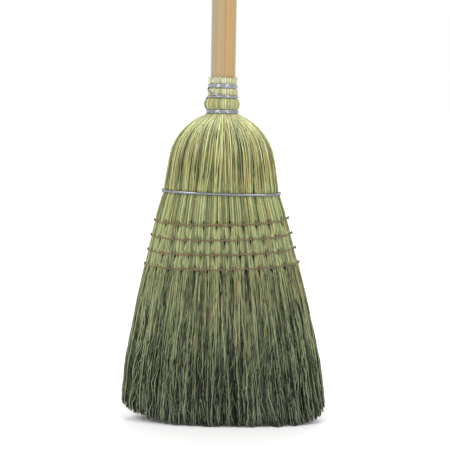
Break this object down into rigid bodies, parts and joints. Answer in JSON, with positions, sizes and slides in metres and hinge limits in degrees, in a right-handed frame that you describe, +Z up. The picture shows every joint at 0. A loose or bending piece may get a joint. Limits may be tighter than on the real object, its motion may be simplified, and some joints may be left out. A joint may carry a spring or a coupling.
{
  "type": "corn broom",
  "caption": "Stitched natural straw broom: round wooden handle, wire-bound neck, heavy wire across the shoulders, rows of lacing twine and a loose skirt that bends.",
  "frame": {"origin": "on the handle's axis, in the plane of the lowest straw tips", "axes": "+Z up the handle, +X across the width of the head, -Y the front"},
  "size_m": [0.246, 0.068, 1.382],
  "materials": {
    "handle_wood": "clear lacquered hardwood with a straight grain",
    "wire_steel": "galvanised steel wire",
    "cover_straw": "hulled broom corn, yellow-green",
    "core_straw": "coarse broom corn",
    "skirt_straw": "fine broom corn fibres, dark olive towards the tips",
    "lacing_twine": "twisted brown lacing twine"
  },
  "bodies": {
    "head": {"handle": "handle_wood", "wire_nail": "wire_steel", "core_winding_wire": "wire_steel", "neck_winding_wire": "wire_steel", "shoulder_band_wire": "wire_steel", "inner_core": "core_straw", "cover_front": "cover_straw", "cover_back": "cover_straw", "shoulder_left": "cover_straw", "shoulder_right": "cover_straw", "twine_belt_1": "lacing_twine", "twine_belt_2": "lacing_twine", "twine_belt_3": "lacing_twine", "twine_belt_4": "lacing_twine", "twine_stitches_1": "lacing_twine", "twine_stitches_2": "lacing_twine", "twine_stitches_3": "lacing_twine", "twine_stitches_4": "lacing_twine"},
    "skirt": {"tuft_01": "skirt_straw", "tuft_02": "skirt_straw", "tuft_03": "skirt_straw", "tuft_04": "skirt_straw", "tuft_05": "skirt_straw", "tuft_06": "skirt_straw", "tuft_07": "skirt_straw", "tuft_08": "skirt_straw", "tuft_09": "skirt_straw", "tuft_10": "skirt_straw", "tuft_11": "skirt_straw", "tuft_12": "skirt_straw"}
  },
  "joints": [
    {"name": "skirt_bend", "type": "hinge", "parent": "head", "child": "skirt", "pos_m": [0, 0, 0.15], "axis": [1, 0, 0], "range_deg": [-25, 25], "stiffness_Nm_per_rad": 12}
  ]
}
